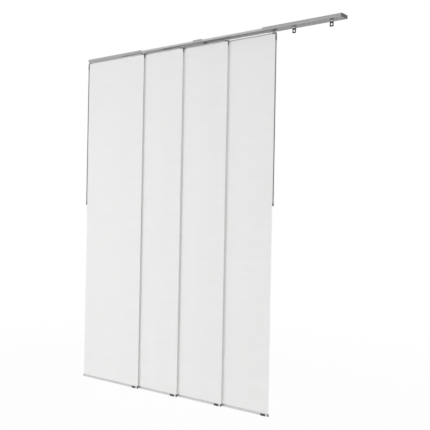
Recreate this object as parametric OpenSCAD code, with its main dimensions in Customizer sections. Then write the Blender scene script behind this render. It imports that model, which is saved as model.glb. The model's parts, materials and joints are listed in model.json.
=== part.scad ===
// Panel track blind: a telescoping four-channel ceiling track with four sliding fabric panels.
// Millimetres. X runs along the track, the room is at -Y, and Z is up.
// The origin is on the ceiling plane, at the middle of the extended track.

/* [Track] */
// Overall length of the extended track, end caps included
track_length = 2184; // [2000:1:2400]
// Length of each outer track section
outer_length = 554; // [540:1:600]
// Spacing of the channels from front to back
channel_pitch = 18; // [18:0.1:22]
// Height of the outer track sections
track_height = 20.5; // [20:0.1:26]
// Wall of the outer track sections
track_wall = 1.5; // [1:0.1:2]
// Thickness of the lips along the bottom of the outer sections
lip_thickness = 1.6; // [1.2:0.1:2.4]
// Width of the slot under each channel
slot_width = 7; // [6.5:0.1:9]
// Radius on the outside corners of the track
track_corner = 2; // [1:0.1:3]
// Depth of the groove along the front and back of the track
groove_depth = 0.5; // [0.2:0.1:0.8]
// Height of that groove
groove_height = 1.4; // [0.8:0.1:3]
// Height of each inner rail
inner_rail_height = 13; // [12:0.1:13.5]
// Wall of each inner rail
inner_rail_wall = 0.9; // [0.7:0.1:1.2]
// Length of inner rail that stays inside each outer section
rail_overlap = 60; // [40:1:80]
// Width of the ribs that keep the inner rails down
rib_width = 1.6; // [1:0.1:2.5]
// Thickness of those ribs
rib_thickness = 1.2; // [0.8:0.1:1.6]

/* [Connector and end caps] */
// Length of the connector in the middle of the inner rails
connector_length = 70; // [50:1:100]
// Distance of the connector screws from its middle
connector_screw_offset = 22; // [16:0.5:24]
// Diameter of the connector screws
connector_screw_d = 3; // [2.5:0.1:4]
// Diameter of their countersunk heads
connector_head_d = 5.6; // [5:0.1:7]
// How far the screws reach through the inner rails
connector_screw_tip = 1; // [0.5:0.1:2]
// Thickness of the end cap plates
cap_plate = 3; // [2:0.1:4]
// Length of the end cap plugs in the channels
cap_plug_length = 5; // [3:0.1:6]

/* [Ceiling screws] */
// Diameter of the ceiling screw holes
ceiling_hole_d = 4.5; // [3.5:0.1:5.5]
// Distance of the first ceiling screw from the end of an outer section
ceiling_hole_inset = 97; // [60:1:140]
// Spacing of the two ceiling screws of an outer section
ceiling_hole_spacing = 300; // [200:1:380]
// Hole in an inner rail that lets a ceiling screw's head through
access_hole_d = 8.5; // [7.5:0.1:10]

/* [Carriers] */
// Length of the glider head along the channel
head_length = 20; // [16:0.5:22]
// Width of the glider head
head_width = 13; // [11:0.1:13.2]
// Height of the glider head
head_height = 6; // [4:0.1:8]
// Corner radius of the glider head
head_corner = 3; // [1:0.1:5]
// Length of the glider neck along the slot
neck_length = 12; // [10:0.1:16]
// Width of the glider neck
neck_width = 5.8; // [4:0.1:6]
// Space between the track and the hanger loop
hanger_drop = 6.5; // [4:0.1:9]
// Width of the hanger loop
hanger_width = 24; // [22:0.1:28]
// Height of the hanger loop
hanger_height = 30; // [28:0.1:34]
// Thickness of the hanger loop
hanger_thickness = 4; // [3.6:0.1:5]
// Width of the window in the hanger loop
window_width = 12; // [11.5:0.1:14]
// Height of the window in the hanger loop
window_height = 13; // [11:0.1:14]
// Height of the bar under the window
hanger_bar = 7; // [6:0.1:8]
// Corner radius of the hanger loop
hanger_corner = 2.5; // [1:0.1:4]
// Corner radius of the window
window_corner = 1.5; // [0.5:0.1:3]
// Length of the glider's tongue in the hanger loop
tongue_length = 8; // [6:0.1:9]
// Thickness of that tongue
tongue_thickness = 2; // [1.4:0.1:2.2]
// Depth of that tongue
tongue_depth = 6; // [4:0.1:8]

/* [Panels] */
// Width of each panel
panel_width = 584; // [560:1:600]
// From the ceiling to the underside of the bottom bars
drop = 2438; // [1800:1:2600]
// Thickness of the fabric
fabric_thickness = 0.8; // [0.4:0.1:1.2]
// Left edge of the first panel, from the left end of the track
panel_1_left = 10; // [10:1:60]
// Left edge of the second panel
panel_2_left = 368; // [300:1:420]
// Left edge of the third panel
panel_3_left = 744; // [700:1:800]
// Left edge of the fourth panel
panel_4_left = 1106; // [1040:1:1106]
// Depth of the top rail under the top of the hanger loop
rail_under_hanger = 2; // [1.8:0.1:6]
// Height of the top rail
rail_height = 8; // [7:0.1:9]
// Depth of the top rail from front to back
rail_depth = 5.5; // [4.5:0.1:6]
// Corner radius of the top rail
rail_corner = 1.4; // [0.8:0.1:1.8]
// Depth of the fabric slot in the top rail
rail_slot_depth = 5; // [4:0.1:6]
// Radius of the round groove at the end of the fabric slot
welt_radius = 1.2; // [0.9:0.1:1.4]
// Height of the bottom bar
bar_height = 16; // [15:0.5:22]
// Depth of the bottom bar from front to back
bar_depth = 8; // [7:0.1:9]
// Wall of the bottom bar
bar_wall = 1.2; // [0.9:0.1:1.6]
// Depth of the fabric slot in the bottom bar
bar_slot_depth = 5; // [4:0.1:6]
// Corner radius of the bottom bar
bar_corner = 1.8; // [1:0.1:2.4]

/* [Corner hooks] */
// Wall of the corner hooks
hook_wall = 1.2; // [1:0.1:1.4]
// Length of the sleeve over the end of the top rail
sleeve_length = 22; // [17.5:0.5:24]
// Wall that closes the end of the sleeve
hook_end_wall = 1.5; // [1:0.1:2.5]
// Corner radius of the sleeve
hook_corner = 1; // [0.4:0.1:1]
// Width of the hook's leg and peg
hook_width = 10; // [8:0.1:10.5]
// Height of the peg in the hanger window
peg_height = 4; // [3:0.1:6]
// Thickness of the lip behind the hanger loop
hook_lip = 1.8; // [1.2:0.1:2.4]
// How far the lip reaches down
lip_drop = 4; // [2:0.1:5]

/* [Bottom bar fittings] */
// Thickness of the bar cap's flange
bar_flange = 5; // [1:0.1:6]
// Length of the bar cap's plug
bar_plug_length = 8; // [5:0.5:9]
// Length of the link clip
clip_length = 36; // [20:0.5:42]
// Distance of the link clip from the right end of the bar
clip_inset = 22; // [10:0.5:30]
// Height of the link clip's sides
clip_height = 13; // [5:0.1:13.5]
// Wall of the link clip
clip_wall = 1; // [0.7:0.1:1.4]

/* [Wands] */
// From the wand's pivot to its lower end
wand_reach = 1065; // [600:5:1400]
// Diameter of the wand's rod
wand_diameter = 7.5; // [6:0.1:8]
// Diameter of the clevis cap and the tip
wand_cap_d = 9.5; // [9.5:0.1:10.5]
// Depth of the pivot under the top rail
pivot_drop = 16; // [14:0.5:20]
// Distance of the wand from the edge of its panel
wand_offset = 6; // [5.8:0.1:7]
// Radius of the round end of the wand arm
arm_radius = 4.5; // [4:0.1:5]
// Thickness of the wand arm
arm_thickness = 3; // [2.4:0.1:3.4]
// Diameter of the pivot pin
pin_d = 3; // [2.5:0.1:3.5]
// Length of the clevis cap under the pivot
clevis_length = 24; // [20:0.5:32]
// Depth of the rod's socket in the clevis cap and the tip
socket_depth = 12; // [8:0.5:13]
// Length of the tip
tip_length = 18; // [15:0.5:30]

/* [Spare carriers] */
// First spare carrier, from the right end of the track
spare_a_from_right = 348; // [300:1:360]
// Second spare carrier, from the right end of the track
spare_b_from_right = 89; // [60:1:140]

/* [Hidden] */
$fn = 48;
NODES = concat(
    ["left_outer_track", "right_outer_track", "centre_connector", "connector_screws"],
    [for (k = [1:4]) str("inner_rail_", k)],
    ["left_end_cap", "right_end_cap"],
    [for (k = [1:4], piece = ["gliders", "hangers", "left_hook", "right_hook", "top_rail",
                              "fabric", "bottom_bar", "bar_caps", "bar_clip"])
        str("panel_", k, "_", piece)],
    [for (side = ["left", "right"], piece = ["clevis", "pin", "rod", "tip"])
        str(side, "_wand_", piece)],
    [for (spare = ["a", "b"], piece = ["glider", "hanger"]) str("spare_", spare, "_", piece)]
);
node = "all";

// Colours as they look under soft light
aluminium = "#b9bbbd";
pale_metal = "#cfd1d2";
dark_cap = "#606366";
dark_plastic = "#37393b";
hook_grey = "#828486";
grey_plastic = "#77797c";
white_nylon = "#e6e6e2";
woven = "#eeeeea";
steel = "#a4a6a8";

// Clearances
overrun = 1;          // how far a cut runs past the solid
side_clear = 0.3;     // inner rail to channel wall
seat_clear = 0.1;     // a piece that sits on another
run_clear = 0.2;      // glider over the lips
plug_fit = 0.15;      // plug in its channel
tongue_fit = 0.1;     // tongue in its pocket
sleeve_fit = 0.15;    // sleeve over the top rail
hook_gap = 0.4;       // hook to hanger loop
slot_fit = 0.2;       // fabric in its slot
fabric_gap = 0.3;     // fabric to the faces above and below it
screw_fit = 0.1;      // screw in its hole
pin_fit = 0.06;       // pin in the wand arm
socket_fit = 0.05;    // rod in its socket
clip_fit = 0.1;       // link clip on the bar
swing_gap = 0.3;      // clevis beside the wand arm

// Track section
channels = 4;
channel_width = channel_pitch - track_wall;
track_depth = channels * channel_pitch + track_wall;
track_bottom = -track_height;
half_track = track_length / 2;
section_end = half_track - cap_plate - outer_length;
inner_rail_width = channel_width - 2 * side_clear;
inner_rail_bottom = track_bottom + lip_thickness + seat_clear;
inner_rail_top = inner_rail_bottom + inner_rail_height;
inner_rail_length = 2 * (section_end + rail_overlap);
rib_bottom = inner_rail_top + side_clear;
ceiling_channel = 3;
spare_channel = 3;

// Carriers
head_bottom = inner_rail_bottom + inner_rail_wall + run_clear;
hanger_top = track_bottom - hanger_drop;
hanger_bottom = hanger_top - hanger_height;
window_bottom = hanger_bottom + hanger_bar;
carrier_inset = hanger_width / 2;

// Panel, with depths measured from the middle of its channel
sleeve_back = -hanger_thickness / 2 - hook_gap;
rail_back = sleeve_back - hook_wall - sleeve_fit;
rail_front = rail_back - rail_depth;
sleeve_front = rail_front - sleeve_fit - hook_wall;
fabric_y = (rail_front + rail_back) / 2;
rail_top = hanger_top - rail_under_hanger;
rail_bottom = rail_top - rail_height;
sleeve_top = rail_top + sleeve_fit + hook_wall;
rail_inset = hook_end_wall + sleeve_fit;
tongue_inset = max(rail_inset, bar_flange + fabric_gap);
peg_bottom = window_bottom + seat_clear;
lip_front = hanger_thickness / 2 + hook_gap;
bar_bottom = -drop;
bar_top = bar_bottom + bar_height;
cell_height = bar_height - bar_slot_depth - 2 * bar_wall;
panel_lefts = [panel_1_left, panel_2_left, panel_3_left, panel_4_left];

// Wands
pivot_z = rail_bottom - pivot_drop;
wand_bottom = pivot_z - wand_reach;
clevis_bottom = pivot_z - clevis_length;
clevis_slot = arm_thickness + 2 * swing_gap;
clevis_top = pivot_z + wand_cap_d / 2;
wand_panels = [1, 4];

function channel_y(k) = (k - (channels + 1) / 2) * channel_pitch;
function panel_x(k) = panel_lefts[k - 1] - half_track;

// Flat shapes

// Rectangle with round corners, centred
module rounded_rect(width, height, radius) {
    square([width - 2 * radius, height], center = true);
    square([width, height - 2 * radius], center = true);
    for (x = [-1, 1], y = [-1, 1])
        translate([x * (width / 2 - radius), y * (height / 2 - radius)]) circle(radius);
}

// Rectangle given by its lowest and highest corner
module span_rect(low, high) {
    translate(low) square(high - low);
}

// Places a flat shape drawn in Y and Z and draws it out along X
module along_x(length) {
    rotate([90, 0, 90]) linear_extrude(length) children();
}

// Places a flat shape drawn in X and Z and draws it out along Y, about y = 0
module along_y(thickness) {
    rotate([90, 0, 0]) linear_extrude(thickness, center = true) children();
}

// Box given by its lowest and highest corner
module span_box(low, high) {
    translate(low) cube(high - low);
}

// Track

module track_outline() {
    translate([0, -track_height / 2]) rounded_rect(track_depth, track_height, track_corner);
}

module channel_opening() {
    half = channel_width / 2;
    difference() {
        span_rect([-half, track_bottom + lip_thickness], [half, -track_wall]);
        for (side = [-1, 1])
            translate([side * half, rib_bottom + rib_thickness / 2])
                square([2 * rib_width, rib_thickness], center = true);
    }
    span_rect([-slot_width / 2, track_bottom - overrun],
              [slot_width / 2, track_bottom + lip_thickness + overrun]);
}

module track_section() {
    difference() {
        track_outline();
        for (k = [1:channels]) translate([channel_y(k), 0]) channel_opening();
        for (side = [-1, 1])
            translate([side * track_depth / 2, -track_height / 2])
                square([2 * groove_depth, groove_height], center = true);
    }
}

module ceiling_hole(x, y) {
    translate([x, y, -track_wall - overrun]) cylinder(d = ceiling_hole_d, h = track_wall + 2 * overrun);
}

// Outer section on the right; the left one is its mirror image
module outer_track() {
    first_hole = half_track - cap_plate - ceiling_hole_inset;
    color(aluminium) difference() {
        translate([section_end, 0, 0]) along_x(outer_length) track_section();
        for (x = [first_hole, first_hole - ceiling_hole_spacing])
            ceiling_hole(x, channel_y(ceiling_channel));
    }
}

module end_cap() {
    plug_half = channel_width / 2 - plug_fit;
    color(dark_cap) {
        translate([half_track - cap_plate, 0, 0]) along_x(cap_plate) track_outline();
        for (k = [1:channels])
            translate([half_track - cap_plate - cap_plug_length, channel_y(k), 0])
                along_x(cap_plug_length + cap_plate / 2)
                    span_rect([-plug_half, track_bottom + lip_thickness + plug_fit],
                              [plug_half, rib_bottom - plug_fit]);
    }
}

module inner_rail(k) {
    half = inner_rail_width / 2;
    holes = abs(channel_y(k)) < channel_pitch;
    color(aluminium) translate([0, channel_y(k), 0]) difference() {
        translate([-inner_rail_length / 2, 0, 0]) along_x(inner_rail_length) difference() {
            span_rect([-half, inner_rail_bottom], [half, inner_rail_top]);
            span_rect([-half + inner_rail_wall, inner_rail_bottom + inner_rail_wall],
                      [half - inner_rail_wall, inner_rail_top - inner_rail_wall]);
            span_rect([-slot_width / 2, inner_rail_bottom - overrun],
                      [slot_width / 2, inner_rail_bottom + inner_rail_wall + overrun]);
        }
        translate([0, 0, inner_rail_top - inner_rail_wall - overrun]) {
            if (holes) cylinder(d = access_hole_d, h = inner_rail_wall + 2 * overrun);
            for (side = [-1, 1])
                translate([side * connector_screw_offset, 0, 0])
                    cylinder(d = connector_screw_d + 2 * screw_fit, h = inner_rail_wall + 2 * overrun);
        }
    }
}

// Places its children at every screw of the connector
module at_connector_screws() {
    for (k = [1:channels], side = [-1, 1])
        translate([side * connector_screw_offset, channel_y(k), 0]) children();
}

// Countersunk screw with its head flush with the ceiling plane
module countersunk(shank_d, head_d, length) {
    rotate_extrude() polygon([
        [0, 0], [head_d / 2, 0], [shank_d / 2, -(head_d - shank_d) / 2],
        [shank_d / 2, -length], [0, -length]
    ]);
}

module centre_connector() {
    color(aluminium) difference() {
        translate([-connector_length / 2, 0, 0]) along_x(connector_length) track_section();
        for (side = [-1, 1]) ceiling_hole(0, side * channel_pitch / 2);
        at_connector_screws() {
            countersunk(connector_screw_d + 2 * screw_fit, connector_head_d + 2 * screw_fit,
                        track_wall + overrun);
        }
    }
}

module connector_screws() {
    color(steel) at_connector_screws()
        countersunk(connector_screw_d, connector_head_d,
                    inner_rail_wall + connector_screw_tip - inner_rail_top);
}

// Carriers

module glider() {
    color(white_nylon) {
        translate([0, 0, head_bottom]) linear_extrude(head_height)
            rounded_rect(head_length, head_width, head_corner);
        span_box([-neck_length / 2, -neck_width / 2, hanger_top],
                 [neck_length / 2, neck_width / 2, head_bottom + head_height / 2]);
        span_box([-tongue_length / 2, -tongue_thickness / 2, hanger_top - tongue_depth],
                 [tongue_length / 2, tongue_thickness / 2, head_bottom]);
    }
}

module hanger() {
    pocket = [tongue_length / 2 + tongue_fit, tongue_thickness / 2 + tongue_fit];
    color(dark_plastic) difference() {
        along_y(hanger_thickness) difference() {
            translate([0, hanger_top - hanger_height / 2])
                rounded_rect(hanger_width, hanger_height, hanger_corner);
            translate([0, window_bottom + window_height / 2])
                rounded_rect(window_width, window_height, window_corner);
        }
        span_box([-pocket.x, -pocket.y, hanger_top - tongue_depth - tongue_fit],
                 [pocket.x, pocket.y, hanger_top + overrun]);
    }
}

// Places its children at both carriers of a panel
module at_carriers() {
    for (x = [carrier_inset, panel_width - carrier_inset]) translate([x, 0, 0]) children();
}

// Panel pieces, drawn from the left edge of the panel and the middle of its channel

// Arm outside the panel's edge that the wand hangs on
module wand_arm() {
    translate([0, fabric_y, 0]) along_y(arm_thickness) difference() {
        union() {
            span_rect([-wand_offset - arm_radius, rail_bottom], [hook_end_wall / 2, rail_top]);
            span_rect([-wand_offset - arm_radius, pivot_z], [-wand_offset + arm_radius, rail_bottom]);
            translate([-wand_offset, pivot_z]) circle(arm_radius);
        }
        translate([-wand_offset, pivot_z]) circle(d = pin_d + 2 * pin_fit);
    }
}

module sleeve_outline() {
    translate([fabric_y, (rail_bottom + sleeve_top) / 2])
        rounded_rect(sleeve_back - sleeve_front, sleeve_top - rail_bottom, hook_corner);
}

// Hook on the left end of the top rail; the right one is its mirror image
module corner_hook(with_arm) {
    leg_low = carrier_inset - hook_width / 2;
    leg_high = carrier_inset + hook_width / 2;
    lip_back = lip_front + hook_lip;
    color(hook_grey) {
        difference() {
            along_x(sleeve_length) sleeve_outline();
            span_box([hook_end_wall, rail_front - sleeve_fit, rail_bottom - overrun],
                     [sleeve_length + overrun, rail_back + sleeve_fit, rail_top + sleeve_fit]);
        }
        translate([leg_low, 0, 0]) along_x(hook_width) {
            span_rect([sleeve_back - hook_wall, peg_bottom], [sleeve_back, rail_top]);
            span_rect([sleeve_back - hook_wall, peg_bottom], [lip_back, peg_bottom + peg_height]);
            span_rect([lip_front, window_bottom - lip_drop], [lip_back, peg_bottom + peg_height]);
        }
        if (with_arm) wand_arm();
    }
}

module at_right_edge() {
    translate([panel_width, 0, 0]) mirror([1, 0, 0]) children();
}

module top_rail() {
    slot_half = fabric_thickness / 2 + slot_fit;
    color(pale_metal) translate([rail_inset, fabric_y, 0]) along_x(panel_width - 2 * rail_inset) difference() {
        translate([0, rail_top - rail_height / 2]) rounded_rect(rail_depth, rail_height, rail_corner);
        span_rect([-slot_half, rail_bottom - overrun], [slot_half, rail_bottom + rail_slot_depth]);
        translate([0, rail_bottom + rail_slot_depth]) circle(welt_radius);
    }
}

module fabric() {
    half = fabric_thickness / 2;
    color(woven) translate([0, fabric_y, 0]) {
        span_box([0, -half, bar_top + fabric_gap], [panel_width, half, rail_bottom - fabric_gap]);
        span_box([tongue_inset, -half, bar_top - bar_slot_depth + fabric_gap],
                 [panel_width - tongue_inset, half, rail_bottom + rail_slot_depth - fabric_gap]);
    }
}

// Outline of the bar, larger all round by a margin for what clips over it
module bar_outline(margin = 0) {
    translate([0, bar_bottom + bar_height / 2])
        rounded_rect(bar_depth + 2 * margin, bar_height + 2 * margin, bar_corner + margin);
}

// Closed cell in the lower half of the bar, smaller by a clearance for the plug
module bar_cell(clear) {
    half = bar_depth / 2 - bar_wall - clear;
    span_rect([-half, bar_bottom + bar_wall + clear],
              [half, bar_bottom + bar_wall + cell_height - clear]);
}

module bottom_bar() {
    slot_half = fabric_thickness / 2 + slot_fit;
    color(pale_metal) translate([bar_flange, fabric_y, 0]) along_x(panel_width - 2 * bar_flange) difference() {
        bar_outline();
        bar_cell(0);
        span_rect([-slot_half, bar_top - bar_slot_depth], [slot_half, bar_top + overrun]);
    }
}

module bar_cap() {
    color(dark_plastic) translate([0, fabric_y, 0]) {
        along_x(bar_flange) bar_outline();
        along_x(bar_flange + bar_plug_length) bar_cell(plug_fit);
    }
}

// Springy clip round the lower part of the bar
module bar_clip() {
    outer = clip_fit + clip_wall;
    color(dark_plastic) translate([panel_width - clip_inset - clip_length, fabric_y, 0]) along_x(clip_length)
        difference() {
            bar_outline(outer);
            bar_outline(clip_fit);
            span_rect([-bar_depth, bar_bottom + clip_height], [bar_depth, bar_top + outer + overrun]);
        }
}

// Wand pieces, drawn about the pivot's own place along X and Y

module wand_clevis() {
    radius = wand_cap_d / 2;
    slot_bottom = pivot_z - arm_radius - 2 * swing_gap;
    color(dark_plastic) difference() {
        translate([0, 0, clevis_bottom]) cylinder(r = radius, h = clevis_top - clevis_bottom);
        span_box([-radius - overrun, -clevis_slot / 2, slot_bottom],
                 [radius + overrun, clevis_slot / 2, clevis_top + overrun]);
        translate([0, 0, clevis_bottom - overrun])
            cylinder(d = wand_diameter + 2 * socket_fit, h = socket_depth + overrun);
        translate([0, 0, pivot_z]) rotate([90, 0, 0])
            cylinder(d = pin_d + 2 * socket_fit, h = wand_cap_d + 2 * overrun, center = true);
    }
}

module wand_pin() {
    color(steel) translate([0, 0, pivot_z]) rotate([90, 0, 0])
        cylinder(d = pin_d, h = wand_cap_d, center = true);
}

module wand_rod() {
    rod_top = clevis_bottom + socket_depth - socket_fit;
    rod_bottom = wand_bottom + tip_length - socket_depth + socket_fit;
    color(grey_plastic) translate([0, 0, rod_bottom]) cylinder(d = wand_diameter, h = rod_top - rod_bottom);
}

// Round-ended tip with a socket for the rod
module wand_tip() {
    radius = wand_cap_d / 2;
    color(dark_plastic) translate([0, 0, wand_bottom]) difference() {
        union() {
            translate([0, 0, radius]) sphere(radius);
            translate([0, 0, radius]) cylinder(r = radius, h = tip_length - radius);
        }
        translate([0, 0, tip_length - socket_depth])
            cylinder(d = wand_diameter + 2 * socket_fit, h = socket_depth + overrun);
    }
}

// Places

module at_panel(k) {
    translate([panel_x(k), channel_y(k), 0]) children();
}

module at_wand(side) {
    k = side == "left" ? wand_panels[0] : wand_panels[1];
    x = side == "left" ? -wand_offset : panel_width + wand_offset;
    at_panel(k) translate([x, fabric_y, 0]) children();
}

module at_spare(spare) {
    from_right = spare == "a" ? spare_a_from_right : spare_b_from_right;
    translate([half_track - from_right, channel_y(spare_channel), 0]) children();
}

function wanted(name) = node == "all" || node == name;

if (wanted("left_outer_track")) mirror([1, 0, 0]) outer_track();
if (wanted("right_outer_track")) outer_track();
if (wanted("centre_connector")) centre_connector();
if (wanted("connector_screws")) connector_screws();
for (k = [1:channels]) if (wanted(str("inner_rail_", k))) inner_rail(k);
if (wanted("left_end_cap")) mirror([1, 0, 0]) end_cap();
if (wanted("right_end_cap")) end_cap();
for (k = [1:channels]) at_panel(k) {
    panel = str("panel_", k, "_");
    if (wanted(str(panel, "gliders"))) at_carriers() glider();
    if (wanted(str(panel, "hangers"))) at_carriers() hanger();
    if (wanted(str(panel, "left_hook"))) corner_hook(k == wand_panels[0]);
    if (wanted(str(panel, "right_hook"))) at_right_edge() corner_hook(k == wand_panels[1]);
    if (wanted(str(panel, "top_rail"))) top_rail();
    if (wanted(str(panel, "fabric"))) fabric();
    if (wanted(str(panel, "bottom_bar"))) bottom_bar();
    if (wanted(str(panel, "bar_caps"))) {
        bar_cap();
        at_right_edge() bar_cap();
    }
    if (wanted(str(panel, "bar_clip"))) bar_clip();
}
for (side = ["left", "right"]) at_wand(side) {
    if (wanted(str(side, "_wand_clevis"))) wand_clevis();
    if (wanted(str(side, "_wand_pin"))) wand_pin();
    if (wanted(str(side, "_wand_rod"))) wand_rod();
    if (wanted(str(side, "_wand_tip"))) wand_tip();
}
for (spare = ["a", "b"]) at_spare(spare) {
    if (wanted(str("spare_", spare, "_glider"))) glider();
    if (wanted(str("spare_", spare, "_hanger"))) hanger();
}
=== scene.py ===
# %% [markdown]
# # Dressing a panel track blind
# The blind hangs from a telescoping aluminium track with four channels. Each channel carries one wide
# panel of plain woven cloth between a thin top rail and a bottom bar, and two wands draw the outer
# panels. The construction comes ready made, in metres, as one object per piece. This lesson adds what
# construction leaves out: the camera, the light, the finish of every surface, the cloth itself and the
# recessed screw heads. Nothing that is loaded here is moved or reshaped, so every new piece takes its
# place from the loaded ones.

# %% Load the frame
import json
import math

import bmesh
import bpy
from mathutils import Matrix, Vector


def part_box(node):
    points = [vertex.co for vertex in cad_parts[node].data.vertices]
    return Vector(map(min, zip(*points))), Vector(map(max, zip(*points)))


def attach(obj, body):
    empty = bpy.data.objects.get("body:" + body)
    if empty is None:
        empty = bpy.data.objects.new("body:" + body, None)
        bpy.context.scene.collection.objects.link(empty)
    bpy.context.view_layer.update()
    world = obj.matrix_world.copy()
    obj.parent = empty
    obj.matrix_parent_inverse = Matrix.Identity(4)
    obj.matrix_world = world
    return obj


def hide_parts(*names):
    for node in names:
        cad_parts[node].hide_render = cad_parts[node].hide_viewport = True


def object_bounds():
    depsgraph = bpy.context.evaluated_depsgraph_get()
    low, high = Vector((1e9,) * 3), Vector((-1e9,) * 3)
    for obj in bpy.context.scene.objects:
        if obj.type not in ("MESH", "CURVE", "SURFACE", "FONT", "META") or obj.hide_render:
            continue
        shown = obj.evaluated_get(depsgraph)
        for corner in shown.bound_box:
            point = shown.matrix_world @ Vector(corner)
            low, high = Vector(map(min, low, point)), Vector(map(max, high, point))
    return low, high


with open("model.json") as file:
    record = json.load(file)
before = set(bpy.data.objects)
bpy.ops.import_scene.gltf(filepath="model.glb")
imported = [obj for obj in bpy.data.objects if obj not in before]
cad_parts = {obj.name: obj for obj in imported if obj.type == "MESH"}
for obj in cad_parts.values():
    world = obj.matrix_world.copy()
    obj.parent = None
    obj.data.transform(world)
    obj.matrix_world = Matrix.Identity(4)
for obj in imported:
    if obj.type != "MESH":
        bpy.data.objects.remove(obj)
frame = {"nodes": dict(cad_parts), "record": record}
cad_box = [list(corner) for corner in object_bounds()]

# %% [markdown]
# ## The camera
# A camera is a point, a direction and a focal length. They could be tried by hand in the viewport, but
# here they were worked out from the corners of the track and the panels, so that the blind's own lines
# fall where they should. The camera stands to the right of the blind at half its height and looks
# level, so upright edges stay parallel, and it is rolled by about one degree. The three directions of
# the camera are written as the columns of its matrix: right, up and backwards.

# %% Place the camera
IMAGE_SIDE = 430
FOCAL_PIXELS = 697.15
CAMERA_REACH = 100
camera_place = Vector((3.0521, -3.6101, -1.1803))
camera_yaw = math.radians(38.731)
camera_pitch = math.radians(0.01)
camera_roll = math.radians(1.077)

forward = Vector((
    -math.sin(camera_yaw) * math.cos(camera_pitch),
    math.cos(camera_yaw) * math.cos(camera_pitch),
    math.sin(camera_pitch),
))
level_right = Vector((math.cos(camera_yaw), math.sin(camera_yaw), 0))
level_up = level_right.cross(forward)
camera_right = level_right * math.cos(camera_roll) + level_up * math.sin(camera_roll)
camera_up = level_up * math.cos(camera_roll) - level_right * math.sin(camera_roll)

camera_data = bpy.data.cameras.new("viewpoint")
camera_data.lens = FOCAL_PIXELS * camera_data.sensor_width / IMAGE_SIDE
camera_data.clip_end = CAMERA_REACH
camera = bpy.data.objects.new("viewpoint", camera_data)
camera_turn = Matrix((camera_right, camera_up, -forward)).transposed()
camera.matrix_world = Matrix.Translation(camera_place) @ camera_turn.to_4x4()
bpy.context.scene.collection.objects.link(camera)
bpy.context.scene.camera = camera
print("lens", round(camera_data.lens, 2), "mm")

# %% [markdown]
# ## Small helpers for node trees
# Worlds, materials and Geometry Nodes are all trees of nodes joined by links. Adding a node always
# takes the same few lines, so one function adds it, sets its properties and fills its inputs. A value
# that is itself a socket is linked, and any other value is written on the socket. A Mix node keeps a
# pair of sockets for every type of value under the same names, so there the right pair is picked by
# number.

# %% Node helpers
def add_node(tree, kind, inputs=None, **properties):
    """Adds a node, sets its properties, and links or writes its inputs by name or number."""
    node = tree.nodes.new(kind)
    for name, value in properties.items():
        setattr(node, name, value)
    for name, value in (inputs or {}).items():
        if isinstance(value, bpy.types.NodeSocket):
            tree.links.new(value, node.inputs[name])
        else:
            node.inputs[name].default_value = value
    return node


def add_math(tree, operation, first, second=0.0):
    """One Math node; gives its result."""
    return add_node(tree, "ShaderNodeMath", {0: first, 1: second}, operation=operation).outputs[0]


def add_vector(tree, x=0.0, y=0.0, z=0.0):
    """One Combine XYZ node; gives its vector."""
    return add_node(tree, "ShaderNodeCombineXYZ", {0: x, 1: y, 2: z}).outputs[0]


def add_map(tree, value, low, high, to_low, to_high, **properties):
    """One Map Range node, from low..high to to_low..to_high; gives its result."""
    inputs = {"Value": value, "From Min": low, "From Max": high, "To Min": to_low, "To Max": to_high}
    return add_node(tree, "ShaderNodeMapRange", inputs, **properties).outputs[0]


def mix_numbers(tree, factor, first, second):
    """A Mix node between two numbers; gives its result."""
    return add_node(tree, "ShaderNodeMix", {0: factor, 2: first, 3: second}, data_type="FLOAT").outputs[0]


def mix_colours(tree, factor, first, second):
    """A Mix node between two colours; gives its result."""
    return add_node(tree, "ShaderNodeMix", {0: factor, 6: first, 7: second}, data_type="RGBA").outputs[2]


def mix_shaders(tree, factor, first, second):
    """A Mix Shader node; gives its shader."""
    return add_node(tree, "ShaderNodeMixShader", {0: factor, 1: first, 2: second}).outputs[0]


# %% [markdown]
# ## A white studio
# The background is plain white, while the blind is lit at an ordinary level. One world can do both: a
# Light Path node tells what kind of ray asks. Rays from the camera, and rays that metal mirrors, see
# full white. The rays that carry light to matt surfaces see a dimmer sky, so that pale cloth keeps its
# shading. The white that metal mirrors falls off a little towards the right, so that a long track is
# not one even grey from end to end.

# %% World
WHITE = (1, 1, 1, 1)
SKY_LEVEL = 0.45
FULL_WHITE = 1.0
RIGHT_MIRROR = 0.8
MIRROR_FADE_START = -0.72
MIRROR_FADE_END = -0.45


def seen_directly(tree):
    """1 for rays that show the surroundings: from the camera, mirrored or passing through glass."""
    rays = add_node(tree, "ShaderNodeLightPath").outputs
    mirrored = add_math(tree, "MAXIMUM", rays["Is Camera Ray"], rays["Is Glossy Ray"])
    return add_math(tree, "MAXIMUM", mirrored, rays["Is Transmission Ray"])


world = bpy.data.worlds.new("white_studio")
bpy.context.scene.world = world
world.use_nodes = True
studio = world.node_tree
studio.nodes.clear()
# In a world, Generated is the direction that a ray looks in
direction = add_node(studio, "ShaderNodeTexCoord").outputs["Generated"]
rightward = add_node(studio, "ShaderNodeSeparateXYZ", {0: direction}).outputs["X"]
mirror_level = add_map(studio, rightward, MIRROR_FADE_START, MIRROR_FADE_END, FULL_WHITE, RIGHT_MIRROR)
mirror_rays = add_node(studio, "ShaderNodeLightPath").outputs["Is Glossy Ray"]
white_level = mix_numbers(studio, mirror_rays, FULL_WHITE, mirror_level)
dim_sky = add_node(studio, "ShaderNodeBackground", {"Color": WHITE, "Strength": SKY_LEVEL}).outputs[0]
white_sky = add_node(studio, "ShaderNodeBackground", {"Color": WHITE, "Strength": white_level}).outputs[0]
sky = mix_shaders(studio, seen_directly(studio), dim_sky, white_sky)
add_node(studio, "ShaderNodeOutputWorld", {"Surface": sky})
bpy.context.scene.view_settings.view_transform = "Standard"
print("sky", SKY_LEVEL, "for matt surfaces")

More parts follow.
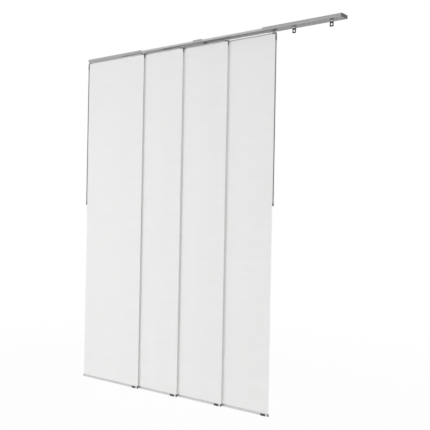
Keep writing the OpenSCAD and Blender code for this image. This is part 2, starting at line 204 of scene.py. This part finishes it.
# %% [markdown]
# ## The floor
# The blind hangs just clear of a pale floor. A plain white plane would turn grey wherever less light
# falls on it, so to the camera this floor is nearly the same white as the sky, with a small share of
# ordinary matt paint mixed in that still takes the blind's shadow. That share fades out away from the
# blind, which hides the line where floor and sky would meet.

# %% Floor
FLOOR_CLEARANCE = 0.015
FLOOR_RADIUS = 12
FLOOR_SIDES = 64
FLOOR_PAINT = (0.9, 0.9, 0.9, 1)
SHADOW_SHARE = 0.04
SHADOW_NEAR = 1.5
SHADOW_FAR = 4.5

floor_material = bpy.data.materials.new("pale_floor")
floor_material.use_nodes = True
floor_tree = floor_material.node_tree
floor_tree.nodes.clear()
place = add_node(floor_tree, "ShaderNodeTexCoord").outputs["Object"]
distance = add_node(floor_tree, "ShaderNodeVectorMath", {0: place}, operation="LENGTH").outputs["Value"]
whiteness = add_map(
    floor_tree, distance, SHADOW_NEAR, SHADOW_FAR, 1 - SHADOW_SHARE, 1, interpolation_type="SMOOTHSTEP"
)
paint = add_node(floor_tree, "ShaderNodeBsdfDiffuse", {"Color": FLOOR_PAINT}).outputs[0]
glow = add_node(floor_tree, "ShaderNodeEmission", {"Color": WHITE, "Strength": FULL_WHITE}).outputs[0]
shown_white = add_math(floor_tree, "MULTIPLY", seen_directly(floor_tree), whiteness)
floor_surface = mix_shaders(floor_tree, shown_white, paint, glow)
add_node(floor_tree, "ShaderNodeOutputMaterial", {"Surface": floor_surface})

floor_mesh = bpy.data.meshes.new("floor")
floor_shape = bmesh.new()
bmesh.ops.create_circle(floor_shape, cap_ends=True, segments=FLOOR_SIDES, radius=FLOOR_RADIUS)
floor_shape.to_mesh(floor_mesh)
floor_shape.free()
floor_mesh.materials.append(floor_material)
floor = bpy.data.objects.new("floor", floor_mesh)
floor.location.z = cad_box[0][2] - FLOOR_CLEARANCE
bpy.context.scene.collection.objects.link(floor)
print("floor at", round(floor.location.z, 3))

# %% [markdown]
# ## The lamps
# Three square lamps light the blind softly. The front lamp stands to the left, so the left panel is a
# little brighter than the right one. The side lamp is broad and far away on the side that the camera
# looks from. It reaches into the narrow strip that each panel shades on the one behind it, so that the
# strip is grey and not black. The back lamp makes the back of the cloth as pale as its front. A sun
# lamp would be simpler, but it lights every panel alike. The lamps are kept out of mirrored rays,
# because metal would show them as bright squares. An area lamp's strength is given in watts, so the
# helper works out the watts from the brightness wanted on a facing white surface.

# %% Lamps
PANEL_MIDDLE = Vector((-0.25, 0, -1.25))
LAMPS = {
    "front_lamp": {"place": (-1.6, -3.8, -1.3), "side": 2.0, "brightness": 0.21},
    "side_lamp": {"place": (20.0, -25.2, 3.0), "side": 10.0, "brightness": 0.32},
    "back_lamp": {"place": (1.5, 6.0, -0.9), "side": 3.0, "brightness": 0.42},
}


def add_lamp(name, place, side, brightness):
    """A square soft lamp that gives a matt white surface facing it, at the panels, that brightness."""
    aim = PANEL_MIDDLE - Vector(place)
    data = bpy.data.lights.new(name, "AREA")
    data.size = side
    data.energy = brightness * math.pi**2 * aim.length_squared
    lamp = bpy.data.objects.new(name, data)
    lamp.location = place
    lamp.rotation_euler = aim.to_track_quat("-Z", "Y").to_euler()
    lamp.visible_glossy = False
    bpy.context.scene.collection.objects.link(lamp)
    return lamp


for lamp_name, settings in LAMPS.items():
    lamp = add_lamp(lamp_name, **settings)
    print(lamp.name, round(lamp.data.energy), "W")

# %% [markdown]
# ## Two surface effects that several materials share
# Drawn aluminium carries hair-fine lines along its length, and moulded plastic a fine even grain. Both
# could be painted into each material, but as node groups they are built once and placed wherever they
# are needed. A group gives out a mask and a height. The mask varies colour and gloss, and the height
# feeds a Bump node.

# %% Tools for effects
def new_effect(name, inputs):
    """A shader node group with named number inputs and a mask and a height to fill."""
    tree = bpy.data.node_groups.new(name, "ShaderNodeTree")
    for socket, default in inputs.items():
        item = tree.interface.new_socket(socket, in_out="INPUT", socket_type="NodeSocketFloat")
        item.default_value = default
    for socket in ("Mask", "Height"):
        tree.interface.new_socket(socket, in_out="OUTPUT", socket_type="NodeSocketFloat")
    return tree, add_node(tree, "NodeGroupInput").outputs, add_node(tree, "NodeGroupOutput").inputs


def add_noise(tree, place, scale=1.0, detail=2.0):
    """One Noise Texture node; gives its level."""
    inputs = {"Vector": place, "Scale": scale, "Detail": detail}
    return add_node(tree, "ShaderNodeTexNoise", inputs).outputs[0]


def add_stretch(tree, place, factors):
    """Stretches a place axis by axis, so that a pattern gets longer one way than the other."""
    return add_node(tree, "ShaderNodeVectorMath", {0: place, 1: factors}, operation="MULTIPLY").outputs[0]


# %% Effect groups
DRAWN_LINES = {"Lines per metre": 900.0, "Line length": 0.7}
BROAD_LINE_SCALE = 0.12
BROAD_LINE_SHARE = 0.4
MOULDED_GRAIN = {"Grains per metre": 2500.0}
PATCHES_PER_METRE = 60.0
PATCH_SHARE = 0.5


def make_drawn_lines():
    """Fine lines along X, as the die leaves them on an extrusion."""
    tree, start, end = new_effect("drawn_lines", DRAWN_LINES)
    place = add_node(tree, "ShaderNodeTexCoord").outputs["Object"]
    along = add_math(tree, "DIVIDE", 1.0, start["Line length"])
    across = start["Lines per metre"]
    lines = add_stretch(tree, place, add_vector(tree, along, across, across))
    fine = add_noise(tree, lines)
    broad = add_noise(tree, lines, BROAD_LINE_SCALE, detail=1.0)
    tree.links.new(mix_numbers(tree, BROAD_LINE_SHARE, fine, broad), end["Mask"])
    tree.links.new(fine, end["Height"])
    return tree


def make_moulded_grain():
    """Fine even grain, with broad faint patches, as a moulding tool leaves it."""
    tree, start, end = new_effect("moulded_grain", MOULDED_GRAIN)
    place = add_node(tree, "ShaderNodeTexCoord").outputs["Object"]
    grain = add_noise(tree, place, start["Grains per metre"])
    patches = add_noise(tree, place, PATCHES_PER_METRE)
    tree.links.new(mix_numbers(tree, PATCH_SHARE, grain, patches), end["Mask"])
    tree.links.new(grain, end["Height"])
    return tree


drawn_lines = make_drawn_lines()
moulded_grain = make_moulded_grain()
print("effects:", drawn_lines.name, moulded_grain.name)

# %% [markdown]
# ## From an effect to a material
# Every finish here is one Principled shader whose colour, gloss and bump are led by an effect's mask
# and height. So one function does the joining: it takes a dark and a pale tone, a range of roughness
# and a depth of relief. What is the same all over a surface, such as Metallic, is written straight on
# the shader.

# %% Material builder
def grey(level):
    """A neutral colour as RGBA."""
    return (level, level, level, 1)


def two_tones(level, spread):
    """A darker and a paler grey, the same share below and above a level."""
    return grey(level * (1 - spread)), grey(level * (1 + spread))


def finish_material(name, effect, effect_inputs, tones, roughness, relief, **shader_inputs):
    """A Principled material led by an effect: two tones, a roughness range and a bump depth in metres."""
    material = bpy.data.materials.new(name)
    material.use_nodes = True
    tree = material.node_tree
    tree.nodes.clear()
    group = add_node(tree, "ShaderNodeGroup", effect_inputs, node_tree=effect).outputs
    bump = add_node(
        tree, "ShaderNodeBump", {"Strength": 1.0, "Distance": relief, "Height": group["Height"]}
    ).outputs[0]
    shader = add_node(tree, "ShaderNodeBsdfPrincipled", {
        "Base Color": mix_colours(tree, group["Mask"], *tones),
        "Roughness": add_map(tree, group["Mask"], 0.0, 1.0, *roughness),
        "Normal": bump,
    })
    for socket, value in shader_inputs.items():
        shader.inputs[socket.replace("_", " ")].default_value = value
    add_node(tree, "ShaderNodeOutputMaterial", {"Surface": shader.outputs[0]})
    return material


# %% [markdown]
# ## Metals
# The track sections, the inner rails and the bars are aluminium, drawn through a die, brushed faintly
# by it and then anodised to a satin silver. A mirror-bright metal would be too sharp: anodising softens
# the mirror, so the roughness is middling. The bars are a paler batch than the track. The screws are
# zinc plated, which is finely mottled and not drawn, so they take the grain and not the lines.

# %% Metal finishes
DRAWN_SPREAD = 0.1
DRAWN_RELIEF = 4e-6
PLATED_RELIEF = 3e-6
PLATED_TONES = (grey(0.44), grey(0.58))
PLATED_GRAIN = {"Grains per metre": 6000.0}


def anodised(name, level, roughness):
    """Drawn and anodised aluminium."""
    tones = two_tones(level, DRAWN_SPREAD)
    return finish_material(name, drawn_lines, DRAWN_LINES, tones, roughness, DRAWN_RELIEF, Metallic=1.0)


finishes = {
    "track_aluminium": anodised("track_aluminium", 0.47, (0.34, 0.46)),
    "rail_aluminium": anodised("rail_aluminium", 0.57, (0.36, 0.48)),
    "bar_aluminium": anodised("bar_aluminium", 0.66, (0.40, 0.52)),
    "screw_steel": finish_material(
        "screw_steel", moulded_grain, PLATED_GRAIN, PLATED_TONES, (0.25, 0.42), PLATED_RELIEF, Metallic=1.0
    ),
}
print("metals:", ", ".join(finishes))

# %% [markdown]
# ## Plastics and paint
# The corner hooks are mid grey moulded plastic and the end caps a darker grey. The hanger loops, the
# bar caps, the clips and the wand caps are nearly black. They differ only in tone and gloss, so one
# function makes them all from the same grain. The gliders are natural nylon, whitish and a little waxy,
# so light is allowed some way in. The wand rods are painted, which is smoother, with a soft shine.

# %% Plastic and paint finishes
MOULDED_SPREAD = 0.12
MOULDED_RELIEF = 8e-6
PAINT_RELIEF = 4e-6


def moulded(name, level, roughness, relief=MOULDED_RELIEF, **shader_inputs):
    """Plastic or paint with a fine even grain."""
    tones = two_tones(level, MOULDED_SPREAD)
    return finish_material(name, moulded_grain, MOULDED_GRAIN, tones, roughness, relief, **shader_inputs)


finishes["dark_plastic"] = moulded("dark_plastic", 0.045, (0.42, 0.58))
finishes["end_cap_plastic"] = moulded("end_cap_plastic", 0.11, (0.45, 0.6))
finishes["grey_plastic"] = moulded("grey_plastic", 0.04, (0.4, 0.55))
finishes["hook_grey"] = moulded("hook_grey", 0.22, (0.4, 0.55))
finishes["white_nylon"] = moulded(
    "white_nylon", 0.82, (0.38, 0.5), Subsurface_Weight=0.15, Subsurface_Scale=0.002
)
finishes["wand_grey"] = moulded(
    "wand_grey", 0.18, (0.3, 0.4), PAINT_RELIEF, Coat_Weight=0.2, Coat_Roughness=0.2
)
print("finishes so far:", len(finishes))

# %% [markdown]
# ## Woven cloth
# The panels are a plain weave: yarns pass over and under each other about every 0.7 mm. In such a cloth
# the crossways yarn varies in thickness, which shows as faint level streaks. A picture of cloth could
# be wrapped round the panel, but it would blur close up, so the weave is worked out from the place on
# the cloth. Two waves multiplied give the over and under of the yarns, and stretched noise gives the
# streaks. Cloth takes light in and lets it out again nearby, so the shader has a shallow subsurface
# layer. The single thick yarns that are laid on the cloth further down take the same weave without that
# layer.

# %% Weave effect and cloth
YARN_PITCH = {"Yarn pitch": 0.0007}
FINE_STREAKS = (9.0, 1.0, 320.0)
BROAD_STREAKS = (3.0, 1.0, 70.0)
CLOTH_TONES = ((0.86, 0.86, 0.855, 1), (0.95, 0.95, 0.945, 1))
CLOTH_ROUGHNESS = (0.75, 0.9)
WEAVE_RELIEF = 6e-5


def make_weave():
    """Plain weave in the XZ plane with slubby crossways yarns."""
    tree, start, end = new_effect("plain_weave", YARN_PITCH)
    place = add_node(tree, "ShaderNodeTexCoord").outputs["Object"]
    axes = add_node(tree, "ShaderNodeSeparateXYZ", {0: place}).outputs
    turn = add_math(tree, "DIVIDE", math.pi, start["Yarn pitch"])
    warp = add_math(tree, "SINE", add_math(tree, "MULTIPLY", axes["X"], turn))
    weft = add_math(tree, "SINE", add_math(tree, "MULTIPLY", axes["Z"], turn))
    crossing = add_math(tree, "MULTIPLY", warp, weft)
    fine = add_noise(tree, add_stretch(tree, place, FINE_STREAKS))
    broad = add_noise(tree, add_stretch(tree, place, BROAD_STREAKS))
    streaks = add_math(tree, "ADD", fine, broad)
    tree.links.new(add_math(tree, "MULTIPLY", streaks, 0.5), end["Mask"])
    tree.links.new(add_math(tree, "ADD", crossing, streaks), end["Height"])
    return tree


plain_weave = make_weave()


def woven(name, **shader_inputs):
    """Cloth or yarn with the plain weave and a faint sheen."""
    return finish_material(
        name, plain_weave, YARN_PITCH, CLOTH_TONES, CLOTH_ROUGHNESS, WEAVE_RELIEF,
        Sheen_Weight=0.1, **shader_inputs,
    )


finishes["woven_fabric"] = woven(
    "woven_fabric", Subsurface_Weight=1.0, Subsurface_Scale=0.0003, Subsurface_Radius=(1, 1, 1)
)
slub_yarn = woven("slub_yarn")
print("finishes:", len(finishes), "and the yarn of the slubs")

# %% [markdown]
# ## Putting the finishes on
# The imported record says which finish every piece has. The pieces could be dressed one by one, but one
# loop does all of the construction. Only the material slots are written: the meshes stay as they came.

# %% Dress the construction
for subpart in frame["record"]["subparts"]:
    piece = frame["nodes"][subpart["node"]]
    for material_slot in piece.material_slots:
        material_slot.material = finishes[subpart["material_slot"]]

# %% [markdown]
# ## Running a Geometry Nodes tree once
# A Geometry Nodes tree makes a mesh from a rule and a few sizes. Left as a modifier it would be worked
# out again each time, and exporters lose it, so it is run once and its result is kept as a plain mesh.
# The sizes are set by each socket's identifier, which is what the modifier knows it by.

# %% Geometry Nodes helpers
FLOAT = "NodeSocketFloat"
INTEGER = "NodeSocketInt"
VECTOR = "NodeSocketVector"
MATERIAL = "NodeSocketMaterial"
GEOMETRY = "NodeSocketGeometry"


def new_shape_tree(name, inputs):
    """An empty Geometry Nodes tree with named inputs; gives the tree, its inputs and its end node."""
    tree = bpy.data.node_groups.new(name, "GeometryNodeTree")
    tree.interface.new_socket("Geometry", in_out="INPUT", socket_type=GEOMETRY)
    for socket, kind in inputs.items():
        tree.interface.new_socket(socket, in_out="INPUT", socket_type=kind)
    tree.interface.new_socket("Geometry", in_out="OUTPUT", socket_type=GEOMETRY)
    return tree, add_node(tree, "NodeGroupInput").outputs, add_node(tree, "NodeGroupOutput").inputs


def close_tree(tree, geometry, material, end):
    """The last nodes of every tree: plain geometry with its material."""
    plain = add_node(tree, "GeometryNodeRealizeInstances", {"Geometry": geometry}).outputs[0]
    inputs = {"Geometry": plain, "Material": material}
    tree.links.new(add_node(tree, "GeometryNodeSetMaterial", inputs).outputs[0], end["Geometry"])


def keep_result(piece):
    """Makes what the modifiers give the piece's own mesh, and takes the modifiers off."""
    graph = bpy.context.evaluated_depsgraph_get()
    piece.data = bpy.data.meshes.new_from_object(piece.evaluated_get(graph), depsgraph=graph)
    piece.data.name = piece.name
    piece.modifiers.clear()


def run_tree(tree, name, values, mesh=None):
    """Runs a tree with these values, on a mesh if one is given, and keeps the result as a plain object."""
    piece = bpy.data.objects.new(name, mesh or bpy.data.meshes.new(name))
    bpy.context.scene.collection.objects.link(piece)
    modifier = piece.modifiers.new(tree.name, "NODES")
    modifier.node_group = tree
    for item in tree.interface.items_tree:
        if item.in_out == "INPUT" and item.name in values:
            modifier[item.identifier] = values[item.name]
    keep_result(piece)
    return piece


# %% [markdown]
# ## The panels
# A panel is one straight length of cloth, held along its top in the rail and along its bottom in the
# bar, and free at its sides. It hangs almost flat, with the slow, shallow waves that cloth keeps from
# the roll. A cloth simulation could find such a shape, but the waves are so slight that a rule does it:
# an upright grid, pushed to and fro by smooth noise that dies out at the two held ends. The top and
# bottom edges are then drawn out twice, first across the small gap and in from the sides, then into the
# slots, which makes the two tongues.

# %% Parts of the cloth rule
WAVES_PER_METRE = (3.0, 1.0, 0.8)
HOLD_POWER = 6.0


def wave_push(tree, place, height_share, start):
    """How far each point of the sheet stands forward or back: noise that dies out at the held ends."""
    waves = add_stretch(tree, place, WAVES_PER_METRE)
    noise = add_node(
        tree, "ShaderNodeTexNoise", {"Vector": waves, "W": start["Seed"], "Scale": 1.0, "Detail": 1.0},
        noise_dimensions="4D",
    ).outputs[0]
    hold = add_math(tree, "POWER", add_math(tree, "ABSOLUTE", height_share), HOLD_POWER)
    slack = add_math(tree, "SUBTRACT", 1.0, hold)
    # Noise runs from 0 to 1: less a half and doubled, it reaches the full depth either way
    swing = add_math(tree, "MULTIPLY", add_math(tree, "SUBTRACT", noise, 0.5), slack)
    return add_math(tree, "MULTIPLY", swing, add_math(tree, "MULTIPLY", start["Wave depth"], 2.0))


def draw_out(tree, mesh, edges, rise):
    """Draws edges out upwards by a rise; gives the outputs of the Extrude Mesh node."""
    inputs = {"Mesh": mesh, "Selection": edges, "Offset": add_vector(tree, z=rise), "Offset Scale": 1.0}
    return add_node(tree, "GeometryNodeExtrudeMesh", inputs, mode="EDGES").outputs


# %% Rule for a hung cloth
COLUMNS = 33
ROWS = 121
HELD_FROM = 0.9999


def make_hung_cloth():
    """An upright sheet with slow waves and a tongue at its top and bottom."""
    tree, start, end = new_shape_tree("hung_cloth", {
        "Width": FLOAT, "Drop": FLOAT, "Middle": VECTOR, "Gap": FLOAT, "Tongue": FLOAT,
        "Tongue share": FLOAT, "Wave depth": FLOAT, "Seed": FLOAT, "Cloth": MATERIAL,
    })
    sheet = add_node(tree, "GeometryNodeMeshGrid", {
        "Size X": start["Width"], "Size Y": start["Drop"], "Vertices X": COLUMNS, "Vertices Y": ROWS,
    }).outputs["Mesh"]
    upright = add_node(
        tree, "GeometryNodeTransform", {"Geometry": sheet, "Rotation": (math.pi / 2, 0, 0)}
    ).outputs[0]

    place = add_node(tree, "GeometryNodeInputPosition").outputs[0]
    axes = add_node(tree, "ShaderNodeSeparateXYZ", {0: place}).outputs
    height_share = add_math(tree, "DIVIDE", axes["Z"], add_math(tree, "MULTIPLY", start["Drop"], 0.5))
    waved = add_node(tree, "GeometryNodeSetPosition", {
        "Geometry": upright, "Offset": add_vector(tree, y=wave_push(tree, place, height_share, start)),
    }).outputs[0]

    held = add_math(tree, "GREATER_THAN", add_math(tree, "ABSOLUTE", height_share), HELD_FROM)
    away = add_math(tree, "SIGN", axes["Z"])
    first = draw_out(tree, waved, held, add_math(tree, "MULTIPLY", away, start["Gap"]))
    narrow = add_math(tree, "MULTIPLY", axes["X"], start["Tongue share"])
    drawn_in = add_node(tree, "GeometryNodeSetPosition", {
        "Geometry": first["Mesh"], "Selection": first["Top"],
        "Position": add_vector(tree, narrow, axes["Y"], axes["Z"]),
    }).outputs[0]
    second = draw_out(tree, drawn_in, first["Top"], add_math(tree, "MULTIPLY", away, start["Tongue"]))
    hung = add_node(
        tree, "GeometryNodeTransform", {"Geometry": second["Mesh"], "Translation": start["Middle"]}
    ).outputs[0]
    smooth = add_node(
        tree, "GeometryNodeSetShadeSmooth", {"Geometry": hung, "Shade Smooth": True}
    ).outputs[0]
    close_tree(tree, smooth, start["Cloth"], end)
    return tree


hung_cloth = make_hung_cloth()
print("rule:", hung_cloth.name)

# %% [markdown]
# ## Four cloths from one rule
# Each panel is run from the same rule with its own place and seed, so no two have the same waves. The
# seams of the drawn-out edges are merged, the faces are turned the same way, and Solidify gives the
# cloth its thickness. The cut edges are marked sharp afterwards, because smooth shading that runs round
# a square edge would draw a dark line beside it.

# %% Hang the four cloths
PANELS = range(1, 5)
CLOTH_THICKNESS = 0.0007
TONGUE_INSET = 0.0058
HEM_GAP = 0.0002
MERGE_DISTANCE = HEM_GAP / 10
WAVE_DEPTH = 0.0022
SHARP_ANGLE = math.radians(40)

cloths = {}
flat_sheets = {}
for k in PANELS:
    low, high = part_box(f"panel_{k}_fabric")
    sheet_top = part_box(f"panel_{k}_top_rail")[0].z - HEM_GAP
    sheet_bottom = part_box(f"panel_{k}_bottom_bar")[1].z + HEM_GAP
    width = high.x - low.x
    cloth = run_tree(hung_cloth, f"panel_{k}_cloth", {
        "Width": width,
        "Drop": sheet_top - sheet_bottom,
        "Middle": Vector(((low.x + high.x) / 2, (low.y + high.y) / 2, (sheet_top + sheet_bottom) / 2)),
        "Gap": HEM_GAP / 2,
        "Tongue": high.z - sheet_top - HEM_GAP,
        "Tongue share": 1 - 2 * TONGUE_INSET / width,
        "Wave depth": WAVE_DEPTH,
        "Seed": float(k),
        "Cloth": finishes["woven_fabric"],
    })
    shape = bmesh.new()
    shape.from_mesh(cloth.data)
    bmesh.ops.remove_doubles(shape, verts=shape.verts, dist=MERGE_DISTANCE)
    bmesh.ops.recalc_face_normals(shape, faces=shape.faces)
    shape.to_mesh(cloth.data)
    shape.free()
    flat_sheets[k] = cloth.data.copy()
    solid = cloth.modifiers.new("thickness", "SOLIDIFY")
    solid.thickness = CLOTH_THICKNESS
    solid.offset = 0
    keep_result(cloth)
    cloth.data.set_sharp_from_angle(angle=SHARP_ANGLE)
    cloths[k] = cloth
    print(cloth.name, len(cloth.data.polygons), "faces,", round(width, 3), "m wide")

# %% [markdown]
# ## Slubs
# A slub is a thick place in a yarn. They are scattered over the cloth, always along the crossways
# yarns, and stand a hair proud of both faces. Bump could only shade them, so they are real shapes.
# Hundreds of small like shapes on a surface are what Geometry Nodes are best at: points are scattered
# on the cloth, and a thin spindle is set on each one at its own length.

# %% Rule for the slubs
SPINDLE_POINTS = 6
SPINDLE_SIDES = 5
SPINDLE_TIP = 0.1
LEAST_STRETCH = (0.5, 0.8, 0.8)
MOST_STRETCH = (2.0, 1.1, 1.1)


def make_slubs():
    """Thin spindles along X, scattered on a mesh."""
    tree, start, end = new_shape_tree("slub_yarns", {
        "Per square metre": FLOAT, "Length": FLOAT, "Thickness": FLOAT, "Seed": INTEGER, "Yarn": MATERIAL,
    })
    line = add_node(tree, "GeometryNodeCurvePrimitiveLine", {
        "Start": add_vector(tree, add_math(tree, "MULTIPLY", start["Length"], -0.5)),
        "End": add_vector(tree, add_math(tree, "MULTIPLY", start["Length"], 0.5)),
    }).outputs[0]
    yarn = add_node(tree, "GeometryNodeResampleCurve", {"Curve": line, "Count": SPINDLE_POINTS}).outputs[0]
    along = add_node(tree, "GeometryNodeSplineParameter").outputs["Factor"]
    swell = add_math(tree, "SINE", add_math(tree, "MULTIPLY", along, math.pi))
    girth = add_math(tree, "MULTIPLY", add_math(tree, "MAXIMUM", swell, SPINDLE_TIP), start["Thickness"])
    # A ring of diameter 1, which the girth scales down to the yarn
    ring = add_node(
        tree, "GeometryNodeCurvePrimitiveCircle", {"Resolution": SPINDLE_SIDES, "Radius": 0.5}
    ).outputs["Curve"]
    spindle = add_node(tree, "GeometryNodeCurveToMesh", {
        "Curve": yarn, "Profile Curve": ring, "Scale": girth, "Fill Caps": True,
    }).outputs[0]

    scatter = add_node(tree, "GeometryNodeDistributePointsOnFaces", {
        "Mesh": start["Geometry"], "Density": start["Per square metre"], "Seed": start["Seed"],
    }).outputs["Points"]
    stretch = add_node(tree, "FunctionNodeRandomValue", {
        "Min": LEAST_STRETCH, "Max": MOST_STRETCH, "Seed": start["Seed"],
    }, data_type="FLOAT_VECTOR").outputs["Value"]
    placed = add_node(tree, "GeometryNodeInstanceOnPoints", {
        "Points": scatter, "Instance": spindle, "Scale": stretch,
    }).outputs[0]
    close_tree(tree, placed, start["Yarn"], end)
    return tree


slub_yarns = make_slubs()
print("rule:", slub_yarns.name)

# %% [markdown]
# ## Slubs on every cloth
# The slubs keep clear of the edges, so they are scattered on a smaller copy of the cloth. Cloth and
# slubs then ride on their panel. The cloth stands for the plain sheet of the construction, which is
# hidden.

# %% Scatter the slubs
SLUB_LENGTH = 0.03
SLUB_THICKNESS = 0.0011
SLUBS_PER_SQUARE_METRE = 160.0
SIDE_MARGIN = 0.05

for k in PANELS:
    inner = bmesh.new()
    inner.from_mesh(flat_sheets[k])
    low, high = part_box(f"panel_{k}_fabric")
    outside = [
        face for face in inner.faces
        if not low.x + SIDE_MARGIN < face.calc_center_median().x < high.x - SIDE_MARGIN
        or not low.z + SIDE_MARGIN < face.calc_center_median().z < high.z - SIDE_MARGIN
    ]
    bmesh.ops.delete(inner, geom=outside, context="FACES")
    ground = bpy.data.meshes.new(f"panel_{k}_slub_ground")
    inner.to_mesh(ground)
    inner.free()
    slubs = run_tree(slub_yarns, f"panel_{k}_slubs", {
        "Per square metre": SLUBS_PER_SQUARE_METRE, "Length": SLUB_LENGTH, "Thickness": SLUB_THICKNESS,
        "Seed": k, "Yarn": slub_yarn,
    }, ground)
    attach(slubs, f"panel_{k}")

    cloth = cloths[k]
    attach(cloth, f"panel_{k}")
    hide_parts(f"panel_{k}_fabric")
    print(slubs.name, len(slubs.data.polygons), "faces")

# %% [markdown]
# ## Connector screws
# Eight countersunk screws hold the inner rails to the connector. The construction has them plain, and
# the real ones have a cross recess for the driver. Each could be modelled by hand, but they are all
# alike and sit on a regular grid, so one screw is cut by a boolean and set on the grid's points.

# %% Rule for one screw
SCREW_SIDES = 32


def add_moved(tree, geometry, rise):
    """Moves a shape up by a rise."""
    inputs = {"Geometry": geometry, "Translation": add_vector(tree, z=rise)}
    return add_node(tree, "GeometryNodeTransform", inputs).outputs[0]


def add_boolean(tree, operation, tools, body=None):
    """One Mesh Boolean node; gives its mesh."""
    inputs = {"Mesh 1": body} if body else {}
    node = add_node(tree, "GeometryNodeMeshBoolean", inputs, operation=operation, solver="EXACT")
    for tool in tools:
        tree.links.new(tool, node.inputs["Mesh 2"])
    return node.outputs["Mesh"]


def make_screw(tree, start):
    """A countersunk head on a shank, with its top at zero and a cross cut into it."""
    head_height = add_math(tree, "SUBTRACT", start["Head radius"], start["Shank radius"])
    head = add_node(tree, "GeometryNodeMeshCone", {
        "Vertices": SCREW_SIDES, "Radius Top": start["Head radius"], "Radius Bottom": start["Shank radius"],
        "Depth": head_height,
    }).outputs["Mesh"]
    head = add_moved(tree, head, add_math(tree, "MULTIPLY", head_height, -1.0))
    shank = add_node(tree, "GeometryNodeMeshCylinder", {
        "Vertices": SCREW_SIDES, "Radius": start["Shank radius"], "Depth": start["Length"],
    }).outputs["Mesh"]
    shank = add_moved(tree, shank, add_math(tree, "MULTIPLY", start["Length"], -0.5))
    # The cutting blocks are centred on the top of the head, so they are twice as tall as the recess
    cut_height = add_math(tree, "MULTIPLY", start["Recess depth"], 2.0)
    slots = []
    for length, width in (("Recess length", "Recess width"), ("Recess width", "Recess length")):
        size = add_vector(tree, start[length], start[width], cut_height)
        slots.append(add_node(tree, "GeometryNodeMeshCube", {"Size": size}).outputs["Mesh"])
    return add_boolean(tree, "DIFFERENCE", slots, add_boolean(tree, "UNION", [head, shank]))


# %% Rule for the grid of screws
def make_cross_screws():
    """Screws at the points of a grid, two for every inner rail."""
    tree, start, end = new_shape_tree("cross_screws", {
        "Head radius": FLOAT, "Shank radius": FLOAT, "Length": FLOAT, "Recess length": FLOAT,
        "Recess width": FLOAT, "Recess depth": FLOAT, "Span X": FLOAT, "Span Y": FLOAT, "Finish": MATERIAL,
    })
    grid = add_node(tree, "GeometryNodeMeshGrid", {
        "Size X": start["Span X"], "Size Y": start["Span Y"], "Vertices X": 2, "Vertices Y": len(PANELS),
    }).outputs["Mesh"]
    placed = add_node(
        tree, "GeometryNodeInstanceOnPoints", {"Points": grid, "Instance": make_screw(tree, start)}
    ).outputs[0]
    close_tree(tree, placed, start["Finish"], end)
    return tree


cross_screws = make_cross_screws()
print("rule:", cross_screws.name)

# %% [markdown]
# ## The screws in their holes
# The length of the screws and the span of their grid could be typed in again, but they are read off the
# plain screws of the construction, so the recessed ones sit in the same holes. The connector is at the
# middle of the frame, under the ceiling, so a grid round the origin is already in its place.

# %% Set the screws
SCREW_HEAD_RADIUS = 0.0028
SCREW_SHANK_RADIUS = 0.0015
RECESS_LENGTH = 0.0034
RECESS_WIDTH = 0.0009
RECESS_DEPTH = 0.0009

low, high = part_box("connector_screws")
screws = run_tree(cross_screws, "recessed_screws", {
    "Head radius": SCREW_HEAD_RADIUS, "Shank radius": SCREW_SHANK_RADIUS, "Length": high.z - low.z,
    "Recess length": RECESS_LENGTH, "Recess width": RECESS_WIDTH, "Recess depth": RECESS_DEPTH,
    "Span X": high.x - low.x - 2 * SCREW_HEAD_RADIUS, "Span Y": high.y - low.y - 2 * SCREW_HEAD_RADIUS,
    "Finish": finishes["screw_steel"],
})
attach(screws, "inner_track")
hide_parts("connector_screws")
print(screws.name, len(screws.data.polygons), "faces")
